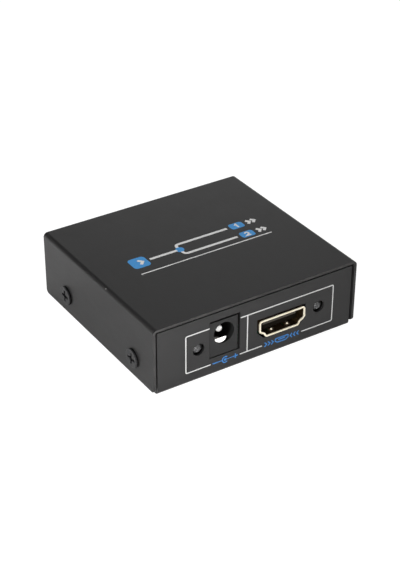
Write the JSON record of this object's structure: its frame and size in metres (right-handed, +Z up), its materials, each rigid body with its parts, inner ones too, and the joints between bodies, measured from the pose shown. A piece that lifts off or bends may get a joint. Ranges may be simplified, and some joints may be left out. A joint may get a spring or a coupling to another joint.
{
  "type": "hdmi splitter",
  "caption": "Small flat steel box that repeats one video input on two outputs, with a round power jack, folded cover and tray, side screws and indicator lamps.",
  "frame": {"origin": "middle of the case's underside, where it rests on a surface", "axes": "+Z up through the top of the cover, -Y out of the front panel with the jack and the input socket, +X to the right seen from the front"},
  "size_m": [0.0664, 0.0596, 0.0206],
  "materials": {
    "case_coat": "fine-textured black powder coat on steel sheet",
    "black_screw": "black oxide steel",
    "board_green": "green solder mask",
    "plated_steel": "bright nickel plate",
    "gold_plate": "thin gold plate",
    "black_plastic": "black moulded plastic",
    "jack_plastic": "black moulded plastic",
    "lamp_lens": "unlit clear epoxy",
    "tinned_lead": "tinned",
    "can_aluminium": "drawn can",
    "ferrite": "moulded ferrite",
    "ceramic_tan": "fired ceramic"
  },
  "bodies": {
    "case": {"top_cover": "case_coat", "base_chassis": "case_coat", "circuit_board": "board_green", "board_standoffs": "plated_steel", "board_screws": "plated_steel", "jack_centre_pin": "plated_steel", "jack_sleeve_terminal": "plated_steel", "jack_switch_contact": "plated_steel", "crystal_can": "plated_steel", "input_socket_shell": "gold_plate", "output_1_socket_shell": "gold_plate", "output_2_socket_shell": "gold_plate", "input_socket_contacts": "gold_plate", "output_1_socket_contacts": "gold_plate", "output_2_socket_contacts": "gold_plate", "input_socket_insulator": "black_plastic", "output_1_socket_insulator": "black_plastic", "output_2_socket_insulator": "black_plastic", "led_holders": "black_plastic", "capacitor_bases": "black_plastic", "splitter_chip": "black_plastic", "memory_chips": "black_plastic", "regulator": "black_plastic", "chip_resistors": "black_plastic", "surge_arrays": "black_plastic", "jack_body": "jack_plastic", "power_led": "lamp_lens", "input_led": "lamp_lens", "output_1_led": "lamp_lens", "output_2_led": "lamp_lens", "led_leads": "tinned_lead", "splitter_chip_leads": "tinned_lead", "memory_chip_leads": "tinned_lead", "regulator_leads": "tinned_lead", "capacitor_cans": "can_aluminium", "power_inductor": "ferrite", "ceramic_capacitors": "ceramic_tan"},
    "screw_left_front": {"screw_left_front": "black_screw"},
    "screw_left_rear": {"screw_left_rear": "black_screw"},
    "screw_right_front": {"screw_right_front": "black_screw"},
    "screw_right_rear": {"screw_right_rear": "black_screw"},
    "jack_sleeve_leaf": {"jack_sleeve_leaf": "plated_steel"}
  },
  "joints": [
    {"name": "screw_left_front_turn", "type": "hinge", "parent": "case", "child": "screw_left_front", "pos_m": [-0.0325, -0.0193, 0.0067], "axis": [-1, 0, 0], "continuous": true},
    {"name": "screw_left_rear_turn", "type": "hinge", "parent": "case", "child": "screw_left_rear", "pos_m": [-0.0325, 0.017, 0.0067], "axis": [-1, 0, 0], "continuous": true},
    {"name": "screw_right_front_turn", "type": "hinge", "parent": "case", "child": "screw_right_front", "pos_m": [0.0325, -0.0193, 0.0067], "axis": [1, 0, 0], "continuous": true},
    {"name": "screw_right_rear_turn", "type": "hinge", "parent": "case", "child": "screw_right_rear", "pos_m": [0.0325, 0.017, 0.0067], "axis": [1, 0, 0], "continuous": true},
    {"name": "jack_leaf_press", "type": "hinge", "parent": "case", "child": "jack_sleeve_leaf", "pos_m": [-0.0106, -0.01815, 0.0072], "axis": [1, 0, 0], "range_deg": [0, 6], "stiffness_Nm_per_rad": 0.2}
  ]
}
